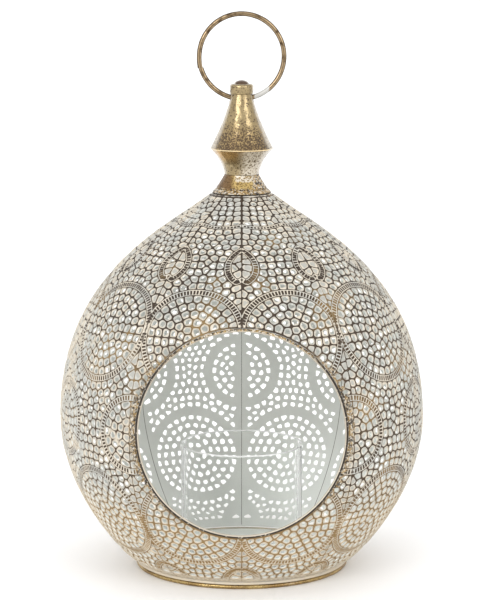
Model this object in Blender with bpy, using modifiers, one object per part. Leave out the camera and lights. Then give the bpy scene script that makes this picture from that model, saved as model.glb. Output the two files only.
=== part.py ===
"""Onion-shaped Moroccan lantern: ten sheet-metal gores, a turned finial, a carrying ring and a candle glass.

Metres, +Z up. The origin is the middle of the foot, on the surface that the lantern stands on, and the
round opening faces -Y.
"""
import bpy
import bmesh
from math import asin, cos, pi, radians, sin, sqrt
from mathutils import Vector
from mathutils.geometry import interpolate_bezier

NAME = "moroccan_lantern"
GAP = 0.0003  # between pieces that touch
FINE = 0.00001  # merge distance

# Shell: ten gores of one onion profile, each point of it as (radius, height) of the outer face
GORES = 10
SHEET = 0.0006
FOOT_EDGE = (0.0772, 0.0055)
WIDEST = (0.1306, 0.1095)
NECK_EDGE = (0.0205, 0.2715)
FOOT_SLOPE = radians(30)
FOOT_HANDLE = 0.0154
BELLY_HANDLE_BELOW = 0.0493
BELLY_HANDLE_ABOVE = 0.1055
NECK_SLOPE = radians(40)
NECK_HANDLE = 0.0381
ROWS_BELOW = 8
ROWS_ABOVE = 12
GORE_COLUMNS = 5

# Round opening in the front
OPENING_HEIGHT = 0.1188
OPENING_RADIUS = 0.0704
RIM_WIRE = 0.0012
RIM_POINTS = 60

# Foot and floor
FOOT_WIRE_MIDDLE = 0.0752
FOOT_WIRE = 0.0016
FOOT_FLAT = 0.0009
BAND_RADIUS = 0.0766
BAND_SHEET = 0.0008
FLOOR_RADIUS = 0.0753
FLOOR_SHEET = 0.0008

# Candle glass
GLASS_RADIUS = 0.0439
GLASS_HEIGHT = 0.0840
GLASS_WALL = 0.0024
GLASS_BASE = 0.0030
GLASS_LIP = 0.0008

# Collar and finial
COLLAR_TOP = (0.0123, 0.2845)
COLLAR_STEP = (0.0181, 0.2750)
COLLAR_GROOVE = (0.0177, 0.2745)
COLLAR_SKIRT = (0.0187, 0.2740)
COLLAR_FOOT = (0.0209, 0.2720)
COLLAR_BASE = 0.2718
COLLAR_POWER = 1.2
FINIAL_FOOT = (0.0125, 0.2848)
FLANGE = (0.0223, 0.3030)
FLANGE_EDGE = 0.00035
CONE_TOP = (0.0079, 0.3403)
BEAD = (0.0081, 0.3415, 0.0005)
KNOB = (0.0084, 0.3430)
KNOB_SHOULDER = (0.0066, 0.3470)
SHOULDER_ROUND = 0.0018
DOME = (0.0052, 0.3484)
DOME_RISE = 0.0030
UPPER_POWER = 1.3
LOWER_POWER = 1.8

# Carrying ring
RING_HEIGHT = 0.3682
RING_RADIUS = 0.0300
RING_WIRE = 0.0018
RING_POINTS = 56
BUTT_ANGLE = radians(196)
BUTT_GAP = 0.0004
PIVOT_HEIGHT = 0.3387
PIVOT_HOLE = 0.0028

# Screw joint in the neck
SCREW_RADIUS = 0.0028
SCREW_TOP = 0.3000
HEAD_TOP = 0.2681
HEAD_RADIUS = 0.0055
HEAD_HEIGHT = 0.0030
SLOT_WIDTH = 0.0012
SLOT_DEPTH = 0.0014
TAPPED_HOLE = (0.0032, 0.3010)
CLEARANCE_HOLE = 0.0034
WASHER_RADIUS = 0.0080
WASHER_TOP = 0.2696
WASHER_SHEET = 0.0012
PLATE_FLAT = (0.0180, 0.2708)
PLATE_EDGE = (0.0240, 0.2668)
PLATE_SHEET = 0.0009

COLOURS = {
    "gilt_whitewash": ((0.62, 0.57, 0.47), 0.55, 0.35),
    "antique_gold": ((0.47, 0.33, 0.15), 0.38, 0.85),
    "grey_paint": ((0.55, 0.56, 0.54), 0.60, 0.0),
    "zinc_steel": ((0.55, 0.55, 0.56), 0.35, 1.0),
    "clear_glass": ((0.90, 0.94, 0.94), 0.03, 0.0),
}


def clear_scene():
    for item in list(bpy.data.objects):
        bpy.data.objects.remove(item, do_unlink=True)


def make_collection(name):
    collection = bpy.data.collections.new(name)
    bpy.context.scene.collection.children.link(collection)
    return collection


def make_material(name):
    colour, roughness, metallic = COLOURS[name]
    material = bpy.data.materials.new(name)
    material.use_nodes = True
    shader = material.node_tree.nodes["Principled BSDF"]
    shader.inputs["Base Color"].default_value = (*colour, 1.0)
    shader.inputs["Roughness"].default_value = roughness
    shader.inputs["Metallic"].default_value = metallic
    if name == "clear_glass":
        shader.inputs["Transmission Weight"].default_value = 1.0
    return material


def add_object(name, data, collection, material=None):
    item = bpy.data.objects.new(name, data)
    collection.objects.link(item)
    if material:
        data.materials.append(material)
    return item


def as_cutter(item):
    item.hide_render = True
    item.display_type = "WIRE"
    return item


def subtract(item, cutter):
    cut = item.modifiers.new("cut_" + cutter.name, "BOOLEAN")
    cut.operation = "DIFFERENCE"
    cut.solver = "EXACT"
    cut.object = cutter


def shell_profile(rows_below=ROWS_BELOW, rows_above=ROWS_ABOVE):
    """Outer outline of the shell from the foot edge up to the neck edge."""
    foot = Vector(FOOT_EDGE)
    widest = Vector(WIDEST)
    neck = Vector(NECK_EDGE)
    foot_handle = foot + FOOT_HANDLE * Vector((cos(FOOT_SLOPE), sin(FOOT_SLOPE)))
    below = widest - Vector((0, BELLY_HANDLE_BELOW))
    above = widest + Vector((0, BELLY_HANDLE_ABOVE))
    neck_handle = neck + NECK_HANDLE * Vector((cos(NECK_SLOPE), -sin(NECK_SLOPE)))
    lower = interpolate_bezier(foot, foot_handle, below, widest, rows_below + 1)
    upper = interpolate_bezier(widest, above, neck_handle, neck, rows_above + 1)
    return [(p[0], p[1]) for p in lower] + [(p[0], p[1]) for p in upper[1:]]


def shell_radius(height):
    """Outer radius of the shell at a height."""
    outline = shell_profile(60, 60)
    for (r0, z0), (r1, z1) in zip(outline, outline[1:]):
        if z0 <= height <= z1:
            return r0 + (r1 - r0) * (height - z0) / (z1 - z0)
    raise ValueError("height outside the shell")


def make_gore_mesh():
    """One gore about the +X direction: a grid bent to the onion, with one seam gap at every height."""
    outline = shell_profile()
    columns = GORE_COLUMNS + 1
    grid = bmesh.new()
    bmesh.ops.create_grid(grid, x_segments=GORE_COLUMNS, y_segments=len(outline) - 1, size=0.5)
    for vertex in grid.verts:
        column = round((vertex.co.x + 0.5) * (columns - 1))
        radius, height = outline[round((vertex.co.y + 0.5) * (len(outline) - 1))]
        half = pi / GORES - asin(GAP / 2 / radius)
        angle = half * (2 * column / (columns - 1) - 1)
        vertex.co = (radius * cos(angle), radius * sin(angle), height)
    mesh = bpy.data.meshes.new("gore")
    grid.to_mesh(mesh)
    grid.free()
    return mesh


def make_shell(collection, material, cutter):
    mesh = make_gore_mesh()
    mesh.materials.append(material)
    mesh.shade_smooth()
    for number in range(GORES):
        gore = add_object("gore_%02d" % (number + 1), mesh, collection)
        gore.rotation_euler.z = -pi / 2 + (number + 0.5) * 2 * pi / GORES
        sheet = gore.modifiers.new("sheet", "SOLIDIFY")
        sheet.thickness = SHEET
        sheet.offset = -1
        if number in (0, GORES - 1):
            subtract(gore, cutter)


def make_opening_cutter(collection):
    bpy.ops.mesh.primitive_cylinder_add(
        vertices=RIM_POINTS, radius=OPENING_RADIUS + 2 * RIM_WIRE + GAP, depth=WIDEST[0],
        location=(0, -WIDEST[0], OPENING_HEIGHT), rotation=(pi / 2, 0, 0))
    cutter = bpy.context.object
    cutter.name = "opening_cutter"
    move_to(cutter, collection)
    return as_cutter(cutter)


def move_to(item, collection):
    for other in list(item.users_collection):
        other.objects.unlink(item)
    collection.objects.link(item)


def make_wire(name, points, radius, closed, collection, material):
    """A round wire along points, as a curve."""
    curve = bpy.data.curves.new(name, "CURVE")
    curve.dimensions = "3D"
    curve.bevel_depth = radius
    curve.bevel_resolution = 2
    curve.use_fill_caps = not closed
    spline = curve.splines.new("POLY")
    spline.points.add(len(points) - 1)
    for knot, place in zip(spline.points, points):
        knot.co = (*place, 1)
    spline.use_cyclic_u = closed
    return add_object(name, curve, collection, material)


def make_opening_rim(collection, material):
    """The wire follows the shell, in the middle of the sheet, round the cut edge."""
    reach = OPENING_RADIUS + RIM_WIRE
    points = []
    for step in range(RIM_POINTS):
        angle = 2 * pi * (step + 0.5) / RIM_POINTS
        x = reach * cos(angle)
        z = OPENING_HEIGHT + reach * sin(angle)
        radius = shell_radius(z) - SHEET / 2
        points.append((x, -sqrt(radius ** 2 - x ** 2), z))
    make_wire("opening_rim", points, RIM_WIRE, True, collection, material)


def make_turned(name, outline, steps, collection, material, closed=False):
    """Turns an outline of (radius, height) points, which runs down its outer side, about the Z axis."""
    count = len(outline)
    edges = [(i, i + 1) for i in range(count - 1)]
    if closed:
        edges.append((count - 1, 0))
    mesh = bpy.data.meshes.new(name)
    mesh.from_pydata([(r, 0, z) for r, z in outline], edges, [])
    item = add_object(name, mesh, collection, material)
    turn = item.modifiers.new("turn", "SCREW")
    turn.steps = steps
    turn.render_steps = steps
    turn.use_merge_vertices = True
    turn.merge_threshold = FINE
    turn.use_smooth_shade = False
    return item


def arc(middle, radius, start, end, steps):
    """Points on a round stretch, from the angle start to the angle end, both in degrees."""
    angles = [radians(start + (end - start) * i / steps) for i in range(steps + 1)]
    return [(middle[0] + radius * cos(a), middle[1] + radius * sin(a)) for a in angles]


def flare(top, bottom, power, steps):
    """Concave stretch of a turned outline that opens downwards from top to bottom."""
    points = []
    for step in range(steps + 1):
        part = step / steps
        radius = top[0] + (bottom[0] - top[0]) * part ** power
        points.append((radius, top[1] + (bottom[1] - top[1]) * part))
    return points


def make_foot(collection, gilt, gold, paint):
    outer = FOOT_WIRE_MIDDLE
    wire = [(outer - FOOT_FLAT, 0), *arc((outer, FOOT_WIRE), FOOT_WIRE, 225, 90, 6)[1:]]
    wire += [(outer + (outer - r), z) for r, z in reversed(wire[:-1])]
    make_turned("foot_wire", wire, 64, collection, gold, closed=True)
    base = 2 * FOOT_WIRE + GAP
    top = FOOT_EDGE[1] - GAP
    inner = BAND_RADIUS - BAND_SHEET
    band = [(BAND_RADIUS, top), (BAND_RADIUS, base), (inner, base), (inner, top)]
    make_turned("foot_band", band, 64, collection, gilt, closed=True)
    floor_top = base + FLOOR_SHEET
    floor = [(0, floor_top), (FLOOR_RADIUS, floor_top), (FLOOR_RADIUS, base), (0, base)]
    make_turned("floor_plate", floor, 64, collection, paint)
    return floor_top


def make_glass(floor_top, collection, material):
    bottom = floor_top + GAP
    top = bottom + GLASS_HEIGHT
    inner = GLASS_RADIUS - GLASS_WALL
    inner_floor = bottom + GLASS_BASE
    outline = [(0, inner_floor), (inner - GLASS_LIP, inner_floor), (inner, inner_floor + GLASS_LIP)]
    outline += [(inner, top - GLASS_LIP), (inner + GLASS_LIP, top), (GLASS_RADIUS - GLASS_LIP, top)]
    outline += [(GLASS_RADIUS, top - GLASS_LIP), (GLASS_RADIUS, bottom + GLASS_LIP)]
    outline += [(GLASS_RADIUS - GLASS_LIP, bottom), (0, bottom)]
    make_turned("glass_cylinder", outline, 48, collection, material)


def make_collar(collection, material):
    outline = [(CLEARANCE_HOLE, COLLAR_TOP[1]), *flare(COLLAR_TOP, COLLAR_STEP, COLLAR_POWER, 6)]
    outline += [COLLAR_GROOVE, COLLAR_SKIRT, COLLAR_FOOT]
    outline += [(COLLAR_FOOT[0], COLLAR_BASE), (CLEARANCE_HOLE, COLLAR_BASE)]
    make_turned("neck_collar", outline, 40, collection, material, closed=True)


def make_finial(collection, material, cutter):
    """Domed knob on a bead, a cone flaring down to the sharp flange, and a shorter cone upside down."""
    dome_angles = [radians(25 * step) for step in range(4)]
    dome = [(DOME[0] * sin(a), DOME[1] + DOME_RISE * cos(a)) for a in dome_angles]
    shoulder = arc(KNOB_SHOULDER, SHOULDER_ROUND, 70, 0, 3)
    bead_radius, bead_height, bead = BEAD
    beads = [(bead_radius - bead, bead_height + 2 * bead), (bead_radius, bead_height + bead)]
    beads.append((bead_radius, bead_height))
    lower = flare(FINIAL_FOOT, (FLANGE[0], FLANGE[1] - FLANGE_EDGE), LOWER_POWER, 7)
    upper = flare(CONE_TOP, FLANGE, UPPER_POWER, 8)
    outline = [*dome, *shoulder, KNOB, *beads, *upper, *reversed(lower)]
    outline += [(TAPPED_HOLE[0], FINIAL_FOOT[1]), TAPPED_HOLE, (0, TAPPED_HOLE[1])]
    finial = make_turned("finial", outline, 36, collection, material)
    subtract(finial, cutter)


def make_pivot_cutter(collection):
    bpy.ops.mesh.primitive_cylinder_add(
        vertices=24, radius=PIVOT_HOLE, depth=4 * CONE_TOP[0],
        location=(0, 0, PIVOT_HEIGHT), rotation=(0, pi / 2, 0))
    cutter = bpy.context.object
    cutter.name = "pivot_cutter"
    move_to(cutter, collection)
    return as_cutter(cutter)


def make_ring(collection, material):
    """One wire bent into a circle in the XZ plane; its origin is on the axis that it swings about."""
    start = BUTT_ANGLE + BUTT_GAP / 2 / RING_RADIUS
    sweep = 2 * pi - BUTT_GAP / RING_RADIUS
    angles = [start + sweep * step / (RING_POINTS - 1) for step in range(RING_POINTS)]
    rise = RING_HEIGHT - PIVOT_HEIGHT
    points = [(RING_RADIUS * cos(a), 0, rise + RING_RADIUS * sin(a)) for a in angles]
    ring = make_wire("ring_handle", points, RING_WIRE, False, collection, material)
    ring.location.z = PIVOT_HEIGHT


def make_neck_joint(collection, gilt, steel, slot_cutter):
    """Dished plate, washer and slotted screw that clamp the tips of the gores under the collar."""
    flat, top = PLATE_FLAT
    edge, low = PLATE_EDGE
    plate = [(CLEARANCE_HOLE, top), (flat, top), (edge, low), (edge - PLATE_SHEET / 2, low - PLATE_SHEET)]
    plate += [(flat - PLATE_SHEET / 2, top - PLATE_SHEET), (CLEARANCE_HOLE, top - PLATE_SHEET)]
    make_turned("neck_plate", plate, 40, collection, gilt, closed=True)
    base = WASHER_TOP - WASHER_SHEET
    washer = [(CLEARANCE_HOLE, WASHER_TOP), (WASHER_RADIUS, WASHER_TOP)]
    washer += [(WASHER_RADIUS, base), (CLEARANCE_HOLE, base)]
    make_turned("neck_washer", washer, 32, collection, steel, closed=True)
    head = HEAD_TOP - HEAD_HEIGHT
    screw = [(0, SCREW_TOP), (SCREW_RADIUS, SCREW_TOP), (SCREW_RADIUS, HEAD_TOP), (HEAD_RADIUS, HEAD_TOP)]
    screw += [(HEAD_RADIUS, head + HEAD_HEIGHT / 2), (HEAD_RADIUS - HEAD_HEIGHT / 4, head), (0, head)]
    subtract(make_turned("finial_screw", screw, 24, collection, steel), slot_cutter)


def make_slot_cutter(collection):
    head = HEAD_TOP - HEAD_HEIGHT
    size = (4 * HEAD_RADIUS, SLOT_WIDTH, 2 * SLOT_DEPTH)
    bpy.ops.mesh.primitive_cube_add(size=1, location=(0, 0, head), scale=size)
    cutter = bpy.context.object
    cutter.name = "slot_cutter"
    move_to(cutter, collection)
    return as_cutter(cutter)


def main():
    clear_scene()
    parts = make_collection(NAME)
    cutters = make_collection("cutters")
    gilt, gold, paint, steel, clear = (make_material(name) for name in COLOURS)
    make_shell(parts, gilt, make_opening_cutter(cutters))
    make_opening_rim(parts, gold)
    floor_top = make_foot(parts, gilt, gold, paint)
    make_glass(floor_top, parts, clear)
    make_collar(parts, gold)
    make_finial(parts, gold, make_pivot_cutter(cutters))
    make_ring(parts, gold)
    make_neck_joint(parts, gilt, steel, make_slot_cutter(cutters))


main()
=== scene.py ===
"""Looks of an onion-shaped Moroccan lantern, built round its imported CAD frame.

Metres, +Z up, and the round opening faces -Y. A gore's pattern is laid out flat in millimetres: x runs across
it from its middle, and s runs up along the shell from the foot edge. Its cells and ladder bands are joined by
triangulation there and bent back to the shell.
"""
import random
from math import acos, atan2, cos, hypot, pi, radians, sin, sqrt

import bmesh
import bpy
import numpy as np
from mathutils import Euler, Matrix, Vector, noise
from mathutils.geometry import delaunay_2d_cdt, interpolate_bezier


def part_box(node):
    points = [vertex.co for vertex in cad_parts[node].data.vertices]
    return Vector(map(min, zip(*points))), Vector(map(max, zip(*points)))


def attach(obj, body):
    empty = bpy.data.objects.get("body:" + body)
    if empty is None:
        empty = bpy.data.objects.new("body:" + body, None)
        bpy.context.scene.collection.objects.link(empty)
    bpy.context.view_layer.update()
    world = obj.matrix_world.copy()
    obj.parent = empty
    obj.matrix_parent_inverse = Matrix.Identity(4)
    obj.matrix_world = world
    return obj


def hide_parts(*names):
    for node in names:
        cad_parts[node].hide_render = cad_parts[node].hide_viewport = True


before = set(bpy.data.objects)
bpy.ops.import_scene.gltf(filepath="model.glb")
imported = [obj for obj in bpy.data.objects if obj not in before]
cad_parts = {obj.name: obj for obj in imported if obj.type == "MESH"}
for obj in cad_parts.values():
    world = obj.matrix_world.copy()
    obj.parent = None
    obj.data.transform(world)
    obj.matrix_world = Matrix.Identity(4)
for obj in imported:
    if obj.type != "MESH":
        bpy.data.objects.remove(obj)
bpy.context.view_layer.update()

MM = 0.001

# Camera: where it stands, how far it looks down, its lens and the width of its sensor in mm
CAMERA_PLACE = (-0.0012, -1.8, 0.4873)
CAMERA_PITCH = radians(9.275)
CAMERA_LENS = 152.2
CAMERA_SENSOR = 36.0

# Light
SUN_SPREAD = radians(33)
STUDIO_LIGHT = 1.2

# Shell outline, in mm, as the CAD's: points are (radius, height)
GORES = 10
HALF_GORE = pi / GORES
SHEET = 0.6
SEAM_GAP = 0.02
FOOT_EDGE = Vector((77.2, 5.5))
WIDEST = Vector((130.6, 109.5))
NECK_EDGE = Vector((20.5, 271.5))
FOOT_HANDLE = 15.4 * Vector((cos(radians(30)), sin(radians(30))))
BELLY_BELOW = Vector((0, 49.3))
BELLY_ABOVE = Vector((0, 105.5))
NECK_HANDLE = 38.1 * Vector((cos(radians(40)), -sin(radians(40))))

# Round opening, in mm: its middle's height, the cut's reach, and its wire's reach and radius
OPENING_HEIGHT = 118.8
OPENING_CUT = 73.1
RIM_REACH = 71.6
RIM_WIRE = 1.2
RIM_STEPS = 240

# Rows of cells along the bands, and plain strips at the foot and neck, in mm
PITCH = 6.4
ROW = 5.8
FIRST_ROW = 3.0
ROWS_INSIDE = 7
ROWS_OUTSIDE = 5
SPACES = ((5.0, 2.4), (4.4, 1.9), (4.2, 1.1))  # least distances of a cell to other cells, and to an edge
LOW_MARGIN = 6.4
HIGH_MARGIN = 2.5
SEAM_STRIP = 4.2  # cells nearer to a seam are not pierced
WIDE_SEAM_FROM = 262  # above this the seams are wider

# Cells, in mm. A loop is its share of the cell's reach, its height and its shade. Shade runs from 0 for brown
# patina to 1 and more for whitewash, and GREY_FLOOR is the shade of an unpierced cell's painted floor.
DIRECTIONS = 14
CORNER = 8  # how sharp a cell's corners are
VALLEY = 0.55  # between the feet of two cells
SMALLEST = 0.8
SMALLEST_PIERCED = 1.5
GREY_FLOOR = 3.0
FLOOR_HEIGHT = -0.1
FLOOR_LOOPS = (0.9, 0.3)  # shares of the hole's outline
CELL_LOOPS = ((1.0, -0.25, 0.0), (0.92, 0.2, 0.75), (0.82, 0.42, 1.0), (0.64, -0.1, 0.85))

# Ladder bands, in mm. Lines are (inset, height, shade); loops are (share of width, end gap, height, shade).
BAND = 4.4
SHOULDER_BAND = 3.0
BAND_LINE = 0.6
LINE_MARGIN = 0.25
SLOT_PITCH = 2.3
SLOT_HALF = 0.31  # share of the pitch
SLOT_SAMPLES = 9
SLOT_MARGIN = 0.35
BAND_LINES = ((0.0, -0.2, 0.0), (BAND_LINE * 0.4, 0.34, 1.3), (BAND_LINE, 0.12, 1.1))
SLOT_LOOPS = ((1.0, 0.05, 0.12, 0.6), (0.85, 0.15, -0.2, 0.0), (0.5, 0.35, -0.4, 0.0))

# Foot's dimples, in mm
DIMPLE_PITCH = 3.4
DIMPLE_PLACE = 2.9
DIMPLE_WIDTH = 2.2
DIMPLE_HEIGHT = 1.0
DIMPLE_LOOPS = ((1.0, 0.0, 0.75), (0.7, -0.25, 0.0))

# Ring, in mm
RING_MIDDLE = 368.2
RING_REACH = 30.0
RING_WIRE = 1.8
RING_SPRUNG = 0.55
RING_JOINT = radians(196)
RING_STEPS = 160

# Finial, in mm
FLANGE_REACH = 22.1
FLANGE_LOW = 302.5
FLANGE_HIGH = 303.15
SCREW_HOLE = 3.2
CROSS_HOLE_HEIGHT = 338.7
CROSS_HOLE_REACH = 2.8

# Steps round the turned pieces
FOOT_STEPS = 200
GLASS_STEPS = 160
TURNED_STEPS = 120
TURNED_CREASE = radians(35)  # edges sharper than this are not smoothed
GORE_CREASE = radians(50)

STEP = 0.05  # mm moved to find how fast a distance changes
FAR = 1000.0


def shell_outline():
    lower = interpolate_bezier(FOOT_EDGE, FOOT_EDGE + FOOT_HANDLE, WIDEST - BELLY_BELOW, WIDEST, 160)
    upper = interpolate_bezier(WIDEST, WIDEST + BELLY_ABOVE, NECK_EDGE + NECK_HANDLE, NECK_EDGE, 240)
    return np.array([point[:2] for point in lower + upper[1:]])


OUTLINE = shell_outline()
ARC = np.concatenate(([0.0], np.cumsum(np.hypot(*np.diff(OUTLINE, axis=0).T))))
LENGTH = ARC[-1]
TANGENT = np.gradient(OUTLINE, ARC, axis=0)


def radius_at(s):
    return np.interp(s, ARC, OUTLINE[:, 0])


def height_at(s):
    return np.interp(s, ARC, OUTLINE[:, 1])


def bend(x, s, height, azimuth):
    """Takes flat points, at a height above the shell's outer face, to the shell."""
    radius = radius_at(s)
    outward = np.interp(s, ARC, TANGENT[:, 1])
    upward = -np.interp(s, ARC, TANGENT[:, 0])
    angle = azimuth + x / radius
    reach = radius + height * outward
    return np.stack((reach * np.cos(angle), reach * np.sin(angle), height_at(s) + height * upward), axis=-1)


class Band:
    """A band round a disc, or round the almond where two discs cross."""

    def __init__(self, x, s, reach, apart=0.0, width=BAND):
        self.reach = reach
        self.apart = apart
        self.width = width
        self.centres = [(x - apart, s), (x + apart, s)] if apart else [(x, s)]

    def arcs(self, inset):
        """Start and end angle of each arc of the loop at a distance inside the outer edge."""
        if not self.apart:
            return np.array([(-pi / 2, 3 * pi / 2)])
        half = acos(self.apart / (self.reach - inset))
        return np.array([(-half, half), (pi - half, pi + half)])

    def point(self, turn, inset):
        """Points at parts of the way round, from 0 to 1."""
        arcs = self.arcs(np.mean(inset))
        along = np.asarray(turn, float) % 1.0 * len(arcs)
        which = along.astype(int)
        angle = arcs[which, 0] + (along - which) * (arcs[which, 1] - arcs[which, 0])
        reach = np.asarray(self.reach - inset)[..., None]
        return np.array(self.centres)[which] + np.stack((np.cos(angle), np.sin(angle)), axis=-1) * reach

    def length(self, inset):
        arcs = self.arcs(inset)
        return (self.reach - inset) * float(np.sum(arcs[:, 1] - arcs[:, 0]))

    def depths(self, x, s):
        return np.array([np.hypot(x - cx, s - cs) - self.reach for cx, cs in self.centres])

    def clear(self, x, s):
        """Distance to the band's nearer edge, below zero on the band."""
        return np.abs(self.depths(x, s).max(axis=0) + self.width / 2) - self.width / 2

    def walls(self):
        """One function for each disc, which gives a cell's distance to that disc's part of the band."""
        def wall(x, s, which):
            depths = self.depths(x, s)
            outside = depths.max(axis=0) > 0
            nearest = depths[which] >= depths.max(axis=0)
            return np.where(outside, np.where(nearest, depths[which], FAR), -depths[which] - self.width)
        return [lambda x, s, which=which: wall(x, s, which) for which in range(len(self.centres))]


def seam_at(s):
    return float(radius_at(s)) * HALF_GORE


def pattern_bands():
    """Two circles and the shoulder's arc at the gore's middle; circles, almonds and arches on its seams."""
    bands = [Band(0, 197.5, 37.5), Band(0, 62, 37.5), Band(0, 333, 42, width=SHOULDER_BAND)]
    for side in (-1, 1):
        bands.append(Band(side * seam_at(128), 128, 28))
        bands.append(Band(side * seam_at(257.5), 257.5, 19.8, apart=8.3))
        bands.append(Band(side * seam_at(8), 1, 23.5, apart=9.0))
    return bands


def opening_reach(x, s, azimuth):
    across = radius_at(s) * np.cos(azimuth + x / radius_at(s))
    return np.hypot(across, height_at(s) - OPENING_HEIGHT) - OPENING_CUT


def opening_gap(x, s, azimuth):
    """Distance along the shell to the edge of the round opening."""
    here = opening_reach(x, s, azimuth)
    slope_x = opening_reach(x + STEP, s, azimuth) - here
    slope_s = opening_reach(x, s + STEP, azimuth) - here
    return here * STEP / np.maximum(np.hypot(slope_x, slope_s), 0.2 * STEP)


class Gore:
    """One gore, laid out flat. A cut one has half of the opening at its left, a mirrored one at its right."""

    def __init__(self, number):
        self.name = "shell_gore_%02d" % number
        self.node = "gore_%02d" % number
        self.azimuth = -pi / 2 + (2 * number - 1) * HALF_GORE
        self.cut = number in (1, GORES)
        self.mirrored = number == GORES
        self.layout_azimuth = -pi / 2 + HALF_GORE
        self.random = random.Random(40 + number)
        self.bands = pattern_bands()
        self.points = []
        self.heights = []
        self.shades = []
        self.edges = []
        self.holes = []

    def edge_walls(self):
        walls = [
            lambda x, s: radius_at(s) * HALF_GORE - SEAM_GAP - x,
            lambda x, s: radius_at(s) * HALF_GORE - SEAM_GAP + x,
            lambda x, s: s - LOW_MARGIN,
            lambda x, s: LENGTH - HIGH_MARGIN - s,
        ]
        if self.cut:
            walls.append(lambda x, s: opening_gap(x, s, self.layout_azimuth) - 0.6)
        return walls

    def room(self, x, s):
        """Distance to the gore's nearest edge."""
        return np.min([wall(x, s) for wall in self.edge_walls()], axis=0)

    def outline(self):
        """The gore's edge, counter-clockwise from its lower left corner."""
        lower = [(x, 0.0) for x in np.linspace(-1, 1, 26) * (seam_at(0) - SEAM_GAP)]
        right = [(seam_at(s) - SEAM_GAP, s) for s in np.linspace(0, LENGTH, 140)[1:]]
        upper = [(x, LENGTH) for x in np.linspace(1, -1, 7)[1:] * (seam_at(LENGTH) - SEAM_GAP)]
        left = [(-x, s) for x, s in reversed(right[:-1])]
        if self.cut:
            kept = [point for point in left if opening_reach(*point, self.layout_azimuth) > 0.8]
            above = [point for point in kept if height_at(point[1]) > OPENING_HEIGHT]
            below = [point for point in kept if height_at(point[1]) < OPENING_HEIGHT]
            left = above + self.opening_arc() + below
        return lower + right + upper + left

    def opening_arc(self):
        """The opening's edge, from the seam above it to the seam below it."""
        points = []
        for turn in np.linspace(0, pi, 100):
            across = max(OPENING_CUT * sin(turn), SEAM_GAP)
            s = float(np.interp(OPENING_HEIGHT + OPENING_CUT * cos(turn), OUTLINE[:, 1], ARC))
            angle = -acos(across / float(radius_at(s))) - self.layout_azimuth
            points.append((angle * float(radius_at(s)), s))
        return points

    def add_points(self, points, height, shade):
        first = len(self.points)
        self.points.extend((float(x), float(s)) for x, s in points)
        self.heights.extend([height] * len(points))
        self.shades.extend([shade] * len(points))
        return list(range(first, len(self.points)))

    def add_loop(self, points, height, shade):
        loop = self.add_points(points, height, shade)
        self.edges.extend(zip(loop, loop[1:] + loop[:1]))
        return loop

    def add_clipped(self, points, height, shade):
        """A closed line, of which only what lies inside the gore is drawn."""
        rooms = self.room(points[:, 0], points[:, 1]) - LINE_MARGIN
        if rooms.min() > 0:
            self.add_loop(points, height, shade)
            return
        last = None
        for index in range(-1, len(points)):
            here, before = rooms[index], rooms[index - 1]
            if here * before < 0:
                part = before / (before - here)
                crossing = points[index - 1] + part * (points[index] - points[index - 1])
                new = self.add_points([crossing], height, shade)[0]
                if here < 0 and last is not None:
                    self.edges.append((last, new))
                last = new if here > 0 else None
            if here > 0 and index >= 0:
                new = self.add_points([points[index]], height, shade)[0]
                if last is not None:
                    self.edges.append((last, new))
                last = new

    def draw_band(self, band):
        slots = round(band.length(band.width / 2) / SLOT_PITCH / 2) * 2
        turns = np.arange(2 * slots) / (2 * slots)
        for inset, height, shade in BAND_LINES:
            self.add_clipped(band.point(turns, inset), height, shade)
            self.add_clipped(band.point(turns, band.width - inset), height, shade)
        for slot in range(slots):
            self.draw_slot(band, (slot + 0.5) / slots, SLOT_HALF / slots)

    def draw_slot(self, band, middle, half):
        """A radial groove: its rim and, inside that, its floor, as far as they lie in the gore."""
        for share, edge, height, shade in SLOT_LOOPS:
            insets = np.linspace(BAND_LINE + edge, band.width - BAND_LINE - edge, SLOT_SAMPLES)
            turns = [middle - half * share, middle + half * share]
            sides = [band.point(np.full(SLOT_SAMPLES, turn), insets) for turn in turns]
            inside = np.min([self.room(*side.T) for side in sides], axis=0) > SLOT_MARGIN + edge
            if inside.sum() < 4:
                return
            near, far = np.flatnonzero(inside)[[0, -1]]
            self.add_loop([sides[0][near], sides[1][near], sides[1][far], sides[0][far]], height, shade)

    def seeds(self):
        """Middles of the cells: rows along the bands, and then what fits between."""
        spaced = []

        def try_seed(x, s, space, clear):
            if min(self.room(x, s) + 0.3, *(band.clear(x, s) for band in self.bands)) < clear:
                return
            if all(hypot(x - other[0], s - other[1]) > space for other in spaced):
                spaced.append((x, s))

        for row in range(ROWS_INSIDE):
            for band in self.bands:
                inward = band.width + FIRST_ROW + ROW * row
                if band.reach - inward > band.apart + 1.0 and band.width == BAND:
                    self.try_row(band, inward, row, try_seed)
                if row < ROWS_OUTSIDE:
                    self.try_row(band, -FIRST_ROW - ROW * row, row, try_seed)
        for space, clear in SPACES:
            for s in np.arange(LOW_MARGIN, LENGTH, 1.3):
                for x in np.arange(-42, 42, 1.7) + self.random.random():
                    try_seed(x, s, space, clear)
        return np.array(spaced)

    def try_row(self, band, inset, row, try_seed):
        count = max(3, round(band.length(inset) / PITCH))
        for x, s in band.point((np.arange(count) + 0.5 * (row % 2)) / count, inset):
            depths = [other.depths(x, s).max() for other in self.bands]
            own = band.depths(x, s).max()
            inside = [depth for depth in depths if depth < 0]
            if own < 0 and len(inside) == 1 or own > 0 and not inside and own < min(depths) + 1.5:
                shaken = [value + self.random.uniform(-0.35, 0.35) for value in (x, s)]
                try_seed(*shaken, *SPACES[0])

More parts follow.
